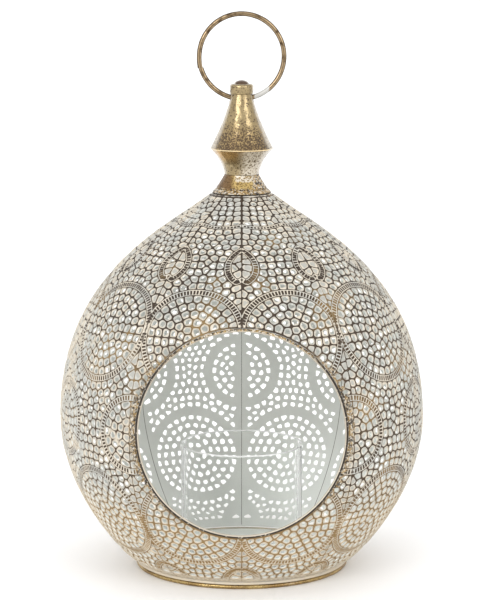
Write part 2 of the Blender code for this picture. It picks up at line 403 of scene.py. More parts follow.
    def reaches(self, seeds, directions):
        """How far each cell reaches in each direction, between its neighbours and walls."""
        gaps = seeds[None, :, :] - seeds[:, None, :]
        distance = np.hypot(gaps[..., 0], gaps[..., 1])
        np.fill_diagonal(distance, FAR)
        normals = [gaps / distance[..., None]]
        spans = [distance / 2 - VALLEY / 2]
        x, s = seeds.T
        seam_margin = 0.18 + 0.3 * (s > WIDE_SEAM_FROM)
        walls = [(wall, seam_margin) for wall in self.edge_walls()]
        walls += [(wall, 0.3) for band in self.bands for wall in band.walls()]
        for wall, margin in walls:
            here = wall(x, s)
            slopes = []
            for move_x, move_s in ((STEP, 0), (0, STEP)):
                ahead = wall(x + move_x, s + move_s) - here
                behind = here - wall(x - move_x, s - move_s)
                slopes.append(np.where(np.abs(ahead) < np.abs(behind), ahead, behind) / STEP)
            slope = np.stack(slopes, axis=-1)
            size = np.maximum(np.hypot(*slopes), 0.001)
            normals.append(-(slope / size[:, None])[:, None, :])
            spans.append((here / size - margin)[:, None])
        normals = np.concatenate(normals, axis=1)
        spans = np.maximum(np.concatenate(spans, axis=1), 0.2)
        facing = np.maximum(normals @ directions.T, 0.0) / spans[..., None]
        return (facing ** CORNER).sum(axis=1) ** (-1 / CORNER)

    def draw_cells(self):
        angles = 2 * pi * np.arange(DIRECTIONS) / DIRECTIONS
        directions = np.stack((np.cos(angles), np.sin(angles)), axis=-1)
        seeds = self.seeds()
        for _ in range(2):
            reach = self.reaches(seeds, directions)
            area = (reach ** 2 / 2).sum(axis=1)[:, None]
            shift = (reach[..., None] ** 3 * directions / 3).sum(axis=1) / area
            seeds = seeds + 0.6 * shift
        for seed, reach in zip(seeds, self.reaches(seeds, directions)):
            if reach.min() > SMALLEST:
                self.draw_cell(seed, reach, angles, directions)

    def draw_cell(self, seed, reach, angles, directions):
        """A crater: loops from its foot over its crest and down to the D-shaped edge of its hole."""
        swell = self.random.uniform(0.75, 1.25)
        size = self.random.uniform(0.95, 1.12)
        flat_side = self.way_to_circle(*seed) + self.random.uniform(-0.7, 0.7)
        flat = self.random.uniform(0.45, 0.8)
        for share, height, shade in CELL_LOOPS[:-1]:
            self.add_loop(seed + share * reach[:, None] * directions, height * swell, shade)
        share, height, shade = CELL_LOOPS[-1]
        blob = np.minimum(size, flat / np.maximum(np.cos(angles - flat_side), 0.01))
        rim = seed + (share * reach * blob)[:, None] * directions
        loop = self.add_loop(rim, height * swell, shade)
        if seam_at(seed[1]) - abs(seed[0]) > SEAM_STRIP and reach.min() > SMALLEST_PIERCED:
            self.holes.append(loop)
            return
        for share in FLOOR_LOOPS:
            self.add_loop(seed + share * (rim - seed), FLOOR_HEIGHT, GREY_FLOOR)

    def way_to_circle(self, x, s):
        """Direction from a cell to the middle of the nearest circle."""
        middles = [middle for band in self.bands for middle in band.centres if not band.apart]
        middle = min(middles, key=lambda place: hypot(place[0] - x, place[1] - s))
        return atan2(middle[1] - s, middle[0] - x)

    def draw_margins(self):
        """Plain strips along the foot edge and the neck edge, the lower one with a row of dimples."""
        end = seam_at(3)
        for x in np.arange(-end + DIMPLE_WIDTH, end - 1.5, DIMPLE_PITCH):
            s = DIMPLE_PLACE + self.random.uniform(-0.4, 0.4)
            for share, height, shade in DIMPLE_LOOPS:
                wide, high = share * DIMPLE_WIDTH / 2, share * DIMPLE_HEIGHT / 2
                corners = [(x - wide, s - high), (x + wide, s - high)]
                corners += [(x + wide, s + high), (x - wide, s + high)]
                self.add_loop(corners, height, shade)
        for s, shade in ((0.8, 0.75), (LOW_MARGIN - 1.6, 0.85), (LOW_MARGIN - 0.6, 0.3), (LENGTH - 1.0, 0.8)):
            width = seam_at(s) - 0.6
            line = self.add_points([(x, s) for x in np.linspace(-width, width, 24)], 0.02, shade)
            self.edges.extend(zip(line, line[1:]))

    def triangles(self, points, edges, holes):
        """Joins the points inside the outline and outside the holes.

        Gives the points, the triangles, and where each given point went.
        """
        flat = [Vector(point) for point in points]
        faces = [list(range(len(self.rim))), *holes]
        made = delaunay_2d_cdt(flat, edges, faces, 0, 1e-4, True)
        where = {}
        for new, olds in enumerate(made[3]):
            for old in olds:
                where[old] = new
        kept = [face for face, owners in zip(made[2], made[5]) if owners == [0]]
        return np.array([tuple(point) for point in made[0]]), kept, where

    def build(self, materials):
        """Lays the pattern out, joins its points, bends them to the shell and adds the piece."""
        self.rim = self.add_loop(self.outline(), -0.3, 0.0)
        self.draw_margins()
        for band in self.bands:
            self.draw_band(band)
        self.draw_cells()
        below, seam_edges, holes_below = self.layout_below()
        top, top_faces, top_place = self.triangles(self.points, self.edges, self.holes)
        low, low_faces, low_place = self.triangles(below, seam_edges, holes_below)
        heights = np.full(len(top), FLOOR_HEIGHT)
        shades = np.zeros(len(top))
        for old, new in top_place.items():
            heights[new] = self.heights[old]
            shades[new] = self.shades[old]
        low_faces = [tuple(len(top) + index for index in reversed(face)) for face in low_faces]
        places = [top_place, {old: len(top) + new for old, new in low_place.items()}]
        walls = wall_faces(self.rim, list(range(len(self.rim))), *places)
        for hole, hole_below in zip(self.holes, holes_below):
            walls += wall_faces(hole[::-1], hole_below[::-1], *places)
        side = -1 if self.mirrored else 1
        above = bend(side * top[:, 0], top[:, 1], heights, self.azimuth)
        under = bend(side * low[:, 0], low[:, 1], np.full(len(low), -SHEET), self.azimuth)
        faces = top_faces + low_faces + walls
        if self.mirrored:
            faces = [tuple(reversed(face)) for face in faces]
        mesh = bpy.data.meshes.new(self.name)
        mesh.from_pydata((np.concatenate((above, under)) * MM).tolist(), [], faces)
        painted = [0] * len(top_faces) + [1] * (len(low_faces) + len(walls))
        mesh.polygons.foreach_set("material_index", painted)
        grime = np.zeros(len(under))
        for index in range(len(self.rim)):
            x, s = self.points[index]
            if abs(x) > seam_at(s) - 2 * SEAM_GAP and 1 < s < LENGTH - 1:
                grime[low_place[index]] = 1.0
        paint_points(mesh, "relief", np.concatenate((shades, np.zeros(len(under)))))
        paint_points(mesh, "grime", np.concatenate((np.zeros(len(top)), grime)))
        mesh.shade_smooth()
        mesh.set_sharp_from_angle(angle=GORE_CREASE)
        add_piece(self.name, mesh, "lantern", materials, [self.node])

    def layout_below(self):
        """Points, edges and holes of the sheet's inner face, which has a line along each seam."""
        points = self.points[:len(self.rim)]
        holes = []
        for hole in self.holes:
            holes.append(list(range(len(points), len(points) + len(hole))))
            points.extend(self.points[index] for index in hole)
        edges = []
        for side in (-1, 1):
            line = [(side * (seam_at(s) - 0.4), s) for s in np.linspace(1, LENGTH - 1, 120)]
            line = [point for point in line if self.room(*point) > -LOW_MARGIN - 1]
            if self.cut:
                line = [point for point in line if opening_reach(*point, self.layout_azimuth) > 0.5]
            for step in range(len(line) - 1):
                if line[step + 1][1] - line[step][1] < 0.05 * LENGTH:
                    edges.append((len(points) + step, len(points) + step + 1))
            points.extend(line)
        return points, edges, holes


def paint_points(mesh, name, values):
    mesh.attributes.new(name, "FLOAT", "POINT").data.foreach_set("value", values.astype(np.float32))


def wall_faces(above, below, top_place, low_place):
    """Faces from a loop of the outer face down to its loop of the inner face."""
    faces = []
    for index in range(len(above)):
        a, b = top_place[above[index - 1]], top_place[above[index]]
        c, d = low_place[below[index]], low_place[below[index - 1]]
        if a != b and c != d:
            faces.append((a, d, c, b))
    return faces


def add_piece(name, data, body, materials, nodes):
    """Adds a piece that rides on a body, in place of CAD nodes."""
    item = bpy.data.objects.new(name, data)
    bpy.context.scene.collection.objects.link(item)
    for material in materials:
        data.materials.append(material)
    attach(item, body)
    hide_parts(*nodes)
    return item


# Materials: procedural, painted by place in the object's own metres. Colours are linear.

DARK_BROWN = (0.022, 0.014, 0.008, 1)
WARM_BROWN = (0.085, 0.048, 0.020, 1)
PIT_BROWN = (0.05, 0.028, 0.013, 1)
KNOB_BROWN = (0.09, 0.05, 0.025, 1)
OLD_GOLD = (0.33, 0.215, 0.08, 1)
LOW_GOLD = (0.26, 0.165, 0.062, 1)
AMBER = (0.75, 0.42, 0.10, 1)
# A painted highlight, on the finial's flange rim
FLANGE_HIGHLIGHT_GOLD = (0.80, 0.62, 0.36, 1)
WHITEWASH = (0.55, 0.495, 0.405, 1)
COOL_WASH = (0.445, 0.435, 0.395, 1)
LOW_WASH = (0.57, 0.475, 0.34, 1)
RING_WASH = (0.44, 0.44, 0.42, 1)
CLOSED_GREY = (0.345, 0.34, 0.31, 1)
SPECK_WHITE = (0.60, 0.58, 0.52, 1)
GRIME_GREY = (0.16, 0.14, 0.12, 1)
PAINT_TINT = (1.0, 1.015, 0.97)

# Pairs, the darker first
FOOT_GOLDS = ((0.30, 0.19, 0.07, 1), (0.60, 0.45, 0.20, 1))
FINIAL_GOLDS = ((0.18, 0.122, 0.05, 1), (0.44, 0.345, 0.18, 1))
COLLAR_GOLDS = ((0.20, 0.12, 0.055, 1), (0.50, 0.36, 0.14, 1))
# The ring's pair: its painted edge shade, then its painted highlight
RING_SHADE_AND_HIGHLIGHT_GOLDS = ((0.06, 0.037, 0.018, 1), (0.33, 0.24, 0.14, 1))
STEELS = ((0.50, 0.50, 0.51, 1), (0.66, 0.66, 0.66, 1))
# The glass's tint, which is also the white of its painted highlights
GLASSES = ((0.99, 1.0, 0.995, 1), (1.0, 1.0, 1.0, 1))
FLOORS = ((0.94, 0.94, 0.94, 1), (0.96, 0.96, 0.96, 1))
LAMP_TINT = (0.95, 0.96, 0.96, 1)


def put(tree, socket, value):
    """Links an output to an input, or sets the input's own value."""
    if isinstance(value, bpy.types.NodeSocket):
        tree.links.new(value, socket)
    else:
        socket.default_value = value


def add(tree, kind, inputs, output=0, **settings):
    """Adds a node and gives one of its outputs."""
    item = tree.nodes.new("ShaderNode" + kind)
    for key, value in settings.items():
        setattr(item, key, value)
    for key, value in inputs.items():
        put(tree, item.inputs[key], value)
    return item.outputs[output]


def start(name, roughness, metallic):
    """A new material, its nodes, its shader and its coordinates."""
    material = bpy.data.materials.new(name)
    material.use_nodes = True
    tree = material.node_tree
    shader = tree.nodes["Principled BSDF"]
    put(tree, shader.inputs["Roughness"], roughness)
    put(tree, shader.inputs["Metallic"], metallic)
    return material, tree, shader, add(tree, "TexCoord", {}, "Object")


def axis(tree, where, letter):
    return add(tree, "SeparateXYZ", {"Vector": where}, letter)


def attribute(tree, name):
    """A value painted on the mesh's points."""
    return add(tree, "Attribute", {}, "Fac", attribute_name=name)


def grain(tree, where, size, detail=3.0, stretch=(1, 1, 1)):
    """Noise from 0 to 1 whose blobs are about size metres across."""
    scaled = add(tree, "Mapping", {"Vector": where, "Scale": stretch})
    return add(tree, "TexNoise", {"Vector": scaled, "Scale": 1 / size, "Detail": detail})


def ramp(tree, value, low, high):
    """0 at low, 1 at high, and smooth between; low may be the greater."""
    inputs = {"Value": value, "From Min": low, "From Max": high}
    return add(tree, "MapRange", inputs, interpolation_type="SMOOTHSTEP")


def grain_ramp(tree, where, size, detail, low, high):
    return ramp(tree, grain(tree, where, size, detail), low, high)


def maths(tree, operation, first, second=0.0, *others):
    """Combines two or more values, from left to right."""
    result = add(tree, "Math", {0: first, 1: second}, operation=operation)
    return maths(tree, operation, result, *others) if others else result


def product(tree, *values):
    return maths(tree, "MULTIPLY", *values)


def vectors(tree, operation, first, second):
    return add(tree, "VectorMath", {0: first, 1: second}, operation=operation)


def length(tree, vector):
    return add(tree, "VectorMath", {0: vector}, "Value", operation="LENGTH")


def mix(tree, share, first, second):
    """Blends two colours, which are inputs 6 and 7 and output 2 of the node."""
    return add(tree, "Mix", {0: share, 6: first, 7: second}, 2, data_type="RGBA")


def blend(tree, share, first, second):
    """Blends two numbers, which are inputs 2 and 3 and output 0 of the node."""
    return add(tree, "Mix", {0: share, 2: first, 3: second})


def roughen(tree, shader, height, distance):
    put(tree, shader.inputs["Normal"], add(tree, "Bump", {"Height": height, "Distance": distance}))


def height_share(tree, where, low, high):
    """0 at low and 1 at high, in metres up the object, with a ragged border; low may be the greater."""
    ragged = 0.02
    shaken = maths(tree, "ADD", axis(tree, where, "Z"), product(tree, grain(tree, where, 0.012), ragged))
    return ramp(tree, shaken, low + ragged / 2, high + ragged / 2)


def opening_distance(tree, where):
    """Distance from the round opening's axis, and height above or below it, in metres."""
    place = vectors(tree, "ADD", where, (0, 0, -OPENING_HEIGHT * MM))
    place = vectors(tree, "MULTIPLY", place, (1, 0, 1))
    return length(tree, place), maths(tree, "ABSOLUTE", axis(tree, place, "Z"))


def mottle(tree, where):
    """Fine pits and specks of dark brown, gold and white."""
    gold = mix(tree, grain_ramp(tree, where, 0.002, 2, 0.42, 0.58), DARK_BROWN, OLD_GOLD)
    return mix(tree, grain_ramp(tree, where, 0.0013, 2, 0.52, 0.60), gold, WHITEWASH)


def make_gilt_whitewash(name, relief=None):
    """Raised edges rubbed white over brown and gold, golden low down and brown on the dome.

    Where no relief is given, it is the one painted on the mesh.
    """
    material, tree, shader, where = start(name, 0.5, 0.0)
    if relief is None:
        relief = attribute(tree, "relief")
    upper = height_share(tree, where, 0.165, 0.205)
    low = height_share(tree, where, 0.085, 0.045)
    strip = ramp(tree, axis(tree, where, "Z"), 0.0125, 0.0095)
    # Less whitewash, so darker lines, towards the right side (+X) below the upper part.
    right = ramp(tree, axis(tree, where, "X"), 0.015, 0.07)
    right = product(tree, right, maths(tree, "SUBTRACT", 1.0, upper))

    # How far the whitewash covers: by relief, wear, thick patches, and the parts of the lantern
    wear = grain(tree, where, 0.003, 4)
    shaken = product(tree, maths(tree, "SUBTRACT", wear, 0.5), 1.3)
    thick = product(tree, grain_ramp(tree, where, 0.022, 3, 0.55, 0.72), 0.45)
    worn = maths(tree, "ADD", relief, shaken, thick, blend(tree, upper, 0.06, -0.28))
    lines = maths(tree, "SUBTRACT", maths(tree, "MAXIMUM", right, low), strip)
    worn = maths(tree, "SUBTRACT", worn, product(tree, lines, 0.32))
    cover = ramp(tree, worn, 0.2, 0.62)

    patches = product(tree, grain_ramp(tree, where, 0.03, 2, 0.52, 0.68), 0.6)
    golden = maths(tree, "MAXIMUM", low, patches)
    brown = product(tree, grain(tree, where, 0.004), blend(tree, upper, 1.0, 0.4))
    gold = mix(tree, low, OLD_GOLD, LOW_GOLD)
    patina = mix(tree, golden, mix(tree, brown, DARK_BROWN, WARM_BROWN), gold)
    wash = mix(tree, grain_ramp(tree, where, 0.015, 2, 0.4, 0.62), WHITEWASH, COOL_WASH)
    wash = mix(tree, product(tree, low, 0.5), wash, LOW_WASH)
    colour = mix(tree, cover, patina, wash)
    closed = ramp(tree, relief, 1.8, 2.4)
    colour = mix(tree, product(tree, closed, 0.9), colour, CLOSED_GREY)
    radial, level = opening_distance(tree, where)
    beside = [ramp(tree, radial, 0.0785, 0.0755), ramp(tree, level, 0.062, 0.040)]
    colour = mix(tree, product(tree, *beside, 0.85), colour, mottle(tree, where))
    put(tree, shader.inputs["Base Color"], colour)
    put(tree, shader.inputs["Metallic"], blend(tree, cover, 0.2, 0.03))
    put(tree, shader.inputs["Roughness"], blend(tree, wear, 0.34, 0.62))
    roughen(tree, shader, grain(tree, where, 0.0009, 2), 0.00006)
    return material


def make_grey_paint(name, albedo):
    """Pale satin paint, a little cloudy, with fine orange peel, and grime where the mesh has it."""
    material, tree, shader, where = start(name, 0.55, 0.0)
    cloud = grain(tree, where, 0.03, 3)
    pale, paler = ([share * albedo * tint for tint in PAINT_TINT] + [1] for share in (0.97, 1.03))
    colour = mix(tree, ramp(tree, cloud, 0.35, 0.65), pale, paler)
    specks = grain_ramp(tree, where, 0.0016, 2, 0.70, 0.76)
    colour = mix(tree, product(tree, specks, 0.3), colour, SPECK_WHITE)
    grime = ramp(tree, attribute(tree, "grime"), 0.1, 0.7)
    put(tree, shader.inputs["Base Color"], mix(tree, grime, colour, GRIME_GREY))
    put(tree, shader.inputs["Roughness"], blend(tree, cloud, 0.48, 0.66))
    roughen(tree, shader, grain(tree, where, 0.0012, 2), 0.00003)
    return material


def make_foot_gold():
    """Lacquered gold with brown pits and a little rubbed whitewash."""
    material, tree, shader, where = start("foot_gold", 0.35, 0.85)
    pits = grain_ramp(tree, where, 0.0007, 2, 0.46, 0.60)
    body = mix(tree, grain_ramp(tree, where, 0.02, 3, 0.30, 0.75), *FOOT_GOLDS)
    speckled = mix(tree, product(tree, pits, 0.75), body, WARM_BROWN)
    patches = grain_ramp(tree, where, 0.011, 4, 0.60, 0.70)
    wash = product(tree, patches, grain_ramp(tree, where, 0.0011, 2, 0.40, 0.55), 0.3)
    put(tree, shader.inputs["Base Color"], mix(tree, wash, speckled, WHITEWASH))
    put(tree, shader.inputs["Metallic"], blend(tree, wash, 0.85, 0.1))
    put(tree, shader.inputs["Roughness"], blend(tree, pits, 0.26, 0.55))
    roughen(tree, shader, grain(tree, where, 0.0007, 3), 0.00008)
    return material


def make_finial_gold():
    """Pale gold, browner and more speckled towards the flange, its rim a painted highlight, with whitewash
    below and at both sides, where it is also a painted pale edge reflection.
    """
    material, tree, shader, where = start("finial_gold", 0.3, 0.9)
    height = axis(tree, where, "Z")
    radius = length(tree, vectors(tree, "MULTIPLY", where, (1, 1, 0)))
    side = maths(tree, "DIVIDE", axis(tree, where, "X"), radius)
    lower = ramp(tree, height, 0.3025, 0.3020)
    upper = ramp(tree, height, 0.3025, 0.3031)
    dim = product(tree, upper, ramp(tree, height, 0.326, 0.307))

    fine = grain(tree, where, 0.00105, 3)
    level = blend(tree, dim, 0.56, 0.42)
    pits = ramp(tree, fine, level, maths(tree, "ADD", level, 0.07))
    gold = mix(tree, grain(tree, where, 0.012, 2), *FINIAL_GOLDS)
    gold = mix(tree, product(tree, dim, 0.6), gold, OLD_GOLD)
    colour = mix(tree, product(tree, pits, 0.9), gold, PIT_BROWN)
    amber = [ramp(tree, side, 0.1, -0.5), ramp(tree, height, 0.292, 0.300), lower, 0.5]
    colour = mix(tree, product(tree, *amber), colour, AMBER)
    colour = mix(tree, ramp(tree, height, 0.3482, 0.3492), colour, KNOB_BROWN)
    # A painted highlight along the flange's rim.
    edge = [ramp(tree, height, 0.3023, 0.3026), ramp(tree, height, 0.3034, 0.3031)]
    colour = mix(tree, product(tree, *edge), colour, FLANGE_HIGHLIGHT_GOLD)

    # Whitewash at both sides as seen from the front, which is also a painted pale edge reflection.
    ragged = maths(tree, "ADD", maths(tree, "ABSOLUTE", side), product(tree, fine, 0.3))
    sides = product(tree, ramp(tree, ragged, 0.94, 1.10), ramp(tree, fine, 0.66, 0.52))
    below = product(tree, lower, ramp(tree, side, -0.3, 0.3))
    below = product(tree, below, ramp(tree, fine, 0.62, 0.50))
    wash = product(tree, maths(tree, "MAXIMUM", sides, below), 0.85)
    put(tree, shader.inputs["Base Color"], mix(tree, wash, colour, WHITEWASH))
    put(tree, shader.inputs["Metallic"], blend(tree, wash, 0.9, 0.1))
    put(tree, shader.inputs["Roughness"], blend(tree, pits, 0.22, 0.5))
    put(tree, shader.inputs["Coat Weight"], 0.6)
    put(tree, shader.inputs["Coat Roughness"], 0.15)
    roughen(tree, shader, fine, 0.00004)
    return material


def make_collar_gold():
    """Brown gold, darker at its left and brighter towards the front, with a white patch above the front, and
    a whitewashed mottled edge below.
    """
    material, tree, shader, where = start("collar_gold", 0.32, 0.85)
    across = axis(tree, where, "X")
    fine = grain(tree, where, 0.0012, 2)
    gold = mix(tree, ramp(tree, across, -0.0085, -0.0045), *COLLAR_GOLDS)
    gold = mix(tree, product(tree, ramp(tree, fine, 0.48, 0.56), 0.7), gold, WARM_BROWN)
    ragged = maths(tree, "ADD", axis(tree, where, "Z"), product(tree, grain(tree, where, 0.004), 0.004))
    patch = [ramp(tree, ragged, 0.2818, 0.2828), ramp(tree, across, -0.006, -0.003)]
    patch = product(tree, *patch, ramp(tree, fine, 0.56, 0.50))
    colour = mix(tree, patch, gold, WHITEWASH)
    right = ramp(tree, across, 0.0065, 0.0095)
    worn = maths(tree, "MAXIMUM", ramp(tree, ragged, 0.2782, 0.2768), right)
    put(tree, shader.inputs["Base Color"], mix(tree, worn, colour, mottle(tree, where)))
    washed = maths(tree, "MAXIMUM", patch, worn)
    put(tree, shader.inputs["Metallic"], blend(tree, washed, 0.85, 0.15))
    put(tree, shader.inputs["Roughness"], blend(tree, fine, 0.22, 0.5))
    roughen(tree, shader, fine, 0.00008)
    return material


def make_rim_gold():
    """The opening's wire: a pale inner half, whitewash and painted highlight, and dark pitted gold outside
    it, patina and painted shade, mottled at the top.
    """
    material, tree, shader, where = start("rim_gold", 0.45, 0.4)
    pits = grain(tree, where, 0.0016, 2)
    # The outer half: dark pitted patina, which is also painted shade.
    outer_patina_and_shade = mix(tree, ramp(tree, pits, 0.62, 0.70), DARK_BROWN, WHITEWASH)
    top = ramp(tree, axis(tree, where, "Z"), 0.160, 0.185)
    outer_patina_and_shade = mix(tree, top, outer_patina_and_shade, mottle(tree, where))
    # The inner half: whitewash, which is also a painted highlight.
    inner = ramp(tree, opening_distance(tree, where)[0], 0.0716, 0.0711)
    put(tree, shader.inputs["Base Color"], mix(tree, product(tree, inner, 0.9), outer_patina_and_shade, WHITEWASH))
    put(tree, shader.inputs["Roughness"], blend(tree, pits, 0.3, 0.6))
    roughen(tree, shader, pits, 0.0001)
    return material


def make_ring_gold():
    """Brown brass with a painted highlight down the wire's middle and painted shade at its edges, whitewashed
    at the right of the finial.
    """
    material, tree, shader, where = start("ring_gold", 0.3, 0.85)
    across, height = axis(tree, where, "X"), axis(tree, where, "Z")
    reach = length(tree, vectors(tree, "ADD", where, (0, 0, -RING_MIDDLE * MM)))
    off = maths(tree, "ABSOLUTE", maths(tree, "SUBTRACT", reach, RING_REACH * MM))
    # Painted highlight along the middle of the wire and painted shade at its inner and outer edges, broken up
    # by grain.
    wire_highlight_and_shade = [grain_ramp(tree, where, 0.004, 3, 0.25, 0.55), ramp(tree, off, 0.0016, 0.0009)]
    wire_highlight_and_shade = product(tree, *wire_highlight_and_shade, blend(tree, ramp(tree, off, 0.0002, 0.0006), 0.35, 1.0))
    colour = mix(tree, wire_highlight_and_shade, *RING_SHADE_AND_HIGHLIGHT_GOLDS)
    washed = [ramp(tree, across, 0.0085, 0.0095), ramp(tree, across, 0.0205, 0.0185)]
    washed = product(tree, *washed, ramp(tree, height, 0.3500, 0.3485))
    put(tree, shader.inputs["Base Color"], mix(tree, product(tree, washed, 0.9), colour, RING_WASH))
    put(tree, shader.inputs["Metallic"], blend(tree, washed, 0.85, 0.1))
    put(tree, shader.inputs["Roughness"], blend(tree, wire_highlight_and_shade, 0.4, 0.22))
    roughen(tree, shader, grain(tree, where, 0.0008, 2), 0.00005)
    return material


def make_steel():
    material, tree, shader, where = start("zinc_steel", 0.35, 1.0)
    cloud = grain(tree, where, 0.002, 3)
    put(tree, shader.inputs["Base Color"], mix(tree, cloud, *STEELS))
    put(tree, shader.inputs["Roughness"], blend(tree, cloud, 0.25, 0.5))
    roughen(tree, shader, grain(tree, where, 0.0004, 2), 0.00002)
    return material


def make_clear_glass():
    """Wavy clear glass that lets the lamps through; seen edge-on it shows painted white highlights in
    streaks, and its lip a painted pale highlight.
    """
    material, tree, shader, where = start("clear_glass", 0.0, 0.0)
    # Painted highlight: edge-on and on the lip the glass lets less through, so its white base colour shows,
    # in streaks.
    edge_on_highlight = ramp(tree, add(tree, "LayerWeight", {"Blend": 0.5}, "Facing"), 0.48, 0.85)
    highlight_streaks = ramp(tree, grain(tree, where, 0.0022, 2, (1, 1, 0.06)), 0.35, 0.6)
    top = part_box("glass_cylinder")[1].z
    lip = ramp(tree, axis(tree, where, "Z"), top - 0.0013, top - 0.0009)
    pale = product(tree, edge_on_highlight, blend(tree, highlight_streaks, 0.35, 1.0))
    pale = maths(tree, "MAXIMUM", pale, product(tree, lip, 0.42))
    put(tree, shader.inputs["Transmission Weight"], blend(tree, pale, 1.0, 0.15))
    put(tree, shader.inputs["IOR"], 1.12)
    smear = grain(tree, where, 0.02, 2, (1, 1, 0.3))
    put(tree, shader.inputs["Base Color"], mix(tree, smear, *GLASSES))
    put(tree, shader.inputs["Roughness"], blend(tree, smear, 0.0, 0.03))
    roughen(tree, shader, smear, 0.0002)
    clear = add(tree, "BsdfTransparent", {"Color": LAMP_TINT})
    shadow = add(tree, "LightPath", {}, "Is Shadow Ray")
    both = add(tree, "MixShader", {0: shadow, 1: shader.outputs[0], 2: clear})
    put(tree, tree.nodes["Material Output"].inputs["Surface"], both)
    return material


# Turned pieces, wires and the glass


def lathe(outline, steps, wobble=0.0, closed=False):
    """Turns (radius, height) points in mm about Z; they run down the outer side. wobble makes it uneven."""
    shape = bmesh.new()
    rows = []
    for radius, height in outline:
        ring = []
        for step in range(steps):
            angle = 2 * pi * step / steps
            place = Vector((radius * cos(angle), radius * sin(angle), height))
            uneven = 1 + wobble * noise.noise(place * 0.35) / max(radius, 4.0)
            ring.append(shape.verts.new((place.x * uneven * MM, place.y * uneven * MM, height * MM)))
        rows.append(ring)
    below = rows[1:] + rows[:1] if closed else rows[1:]
    for upper, lower in zip(rows, below):
        for step in range(steps):
            shape.faces.new((upper[step - 1], lower[step - 1], lower[step], upper[step]))
    bmesh.ops.remove_doubles(shape, verts=shape.verts, dist=1e-6)
    mesh = bpy.data.meshes.new("lathe")
    shape.to_mesh(mesh)
    shape.free()
    mesh.shade_smooth()
    mesh.set_sharp_from_angle(angle=TURNED_CREASE)
    return mesh


def arc(middle, radius, begin, end, steps):
    """Points on an arc; its two angles are in degrees."""
    angles = [radians(begin + (end - begin) * step / steps) for step in range(steps + 1)]
    return [(middle[0] + radius * cos(angle), middle[1] + radius * sin(angle)) for angle in angles]


def flare(top, bottom, power, steps):
    """Concave stretch that opens from top to bottom."""
    wider, lower = bottom[0] - top[0], bottom[1] - top[1]
    parts = [step / steps for step in range(steps + 1)]
    return [(top[0] + wider * part ** power, top[1] + lower * part) for part in parts]


def make_foot(materials, gold):
    """The strip under the gores' lower edge, and the round wire the lantern stands on."""
    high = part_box("foot_wire")[1]
    wire = high.z / MM / 2
    outline = arc((high.x / MM - wire, wire), wire, -124, 236, 20)[:-1]
    rim = lathe(outline[::-1], FOOT_STEPS, 0.15, True)
    add_piece("foot_rim", rim, "lantern", [gold], ["foot_wire"])
    low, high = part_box("foot_band")
    outer, bottom, top = high.x / MM, low.z / MM, high.z / MM
    band = [(outer - 0.8, top), (outer - 0.2, top), *arc((outer - 0.3, top - 0.3), 0.3, 90, 0, 3)]
    band += [(outer + 0.1, bottom), (outer - 0.8, bottom)]
    strip = lathe(band, FOOT_STEPS, 0.2, True)
    add_piece("foot_strip", strip, "lantern", materials, ["foot_band"])


def make_glass(material):
    """A beaker: its floor, its inside, its round lip, its outside and its hollow foot."""
    low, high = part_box("glass_cylinder")
    outer, bottom, top = high.x / MM, low.z / MM, high.z / MM
    wall, base, lip, heel = 0.9, 1.2, 0.45, 1.0
    inner = outer - wall - heel
    outline = [(0, bottom + base), (inner, bottom + base)]
    outline += arc((inner, bottom + base + heel), heel, -90, 0, 8)
    outline += arc((outer - lip, top - lip), lip, 180, 0, 12)
    outline += arc((outer - heel, bottom + heel), heel, 0, -90, 8)
    outline += [(outer * 0.6, bottom + 0.4), (0, bottom + 0.6)]
    mesh = lathe(outline[::-1], GLASS_STEPS)
    mesh.flip_normals()
    add_piece("candle_glass", mesh, "glass", [material], ["glass_cylinder"])


def make_collar(gold):
    """A concave flare, a small groove under it, and a sloping edge over the neck of the shell."""
    bore, top, bottom = 3.4, 284.5, 271.8
    outline = [(bore, top), *flare((12.3, top), (18.1, 275.0), 1.2, 12)]
    outline += [(17.7, 274.5), (18.7, 274.0), (20.6, 272.4), (20.9, 272.0), (20.7, bottom), (bore, bottom)]
    collar = lathe(outline, TURNED_STEPS, 0.25, True)
    add_piece("turned_collar", collar, "lantern", [gold], ["neck_collar"])


def make_finial(gold):
    """Knob with a bead under it, a cone flaring down to the sharp flange, and a shorter cone upside down."""
    dome = [(5.2 * sin(a), 348.4 + 3.0 * cos(a)) for a in np.linspace(0, radians(80), 9)]
    knob = [*arc((6.6, 347.0), 1.8, 70, 0, 6), (8.4, 343.2)]
    bead = [*arc((7.9, 342.0), 0.45, 60, -80, 5), (7.7, 341.3)]
    upper = flare((7.9, 340.3), (FLANGE_REACH, FLANGE_HIGH), 1.3, 28)
    lower = flare((12.5, 284.8), (FLANGE_REACH, FLANGE_LOW), 1.8, 20)
    edge = [(FLANGE_REACH + 0.2, FLANGE_HIGH - 0.2), (FLANGE_REACH + 0.2, FLANGE_LOW + 0.2)]
    bore = [(SCREW_HOLE, 284.8), (SCREW_HOLE, 301.0), (0, 301.0)]
    outline = [*dome, *knob, *bead, *upper, *edge, *reversed(lower), *bore]
    mesh = lathe(outline, TURNED_STEPS, 0.25)
    finial = add_piece("turned_finial", mesh, "lantern", [gold], ["finial"])
    drill(finial, (0, 0, CROSS_HOLE_HEIGHT * MM), CROSS_HOLE_REACH * MM)


def drill(item, place, radius):
    """Cuts a cross hole along X and keeps the result as the mesh."""
    bpy.ops.mesh.primitive_cylinder_add(vertices=40, radius=radius, depth=0.03, location=place)
    cutter = bpy.context.object
    cutter.rotation_euler = (0, pi / 2, 0)
    cut = item.modifiers.new("hole", "BOOLEAN")
    cut.operation = "DIFFERENCE"
    cut.object = cutter
    graph = bpy.context.evaluated_depsgraph_get()
    mesh = bpy.data.meshes.new_from_object(item.evaluated_get(graph))
    item.modifiers.clear()
    item.data = mesh
    mesh.set_sharp_from_angle(angle=TURNED_CREASE)
    bpy.data.objects.remove(cutter, do_unlink=True)


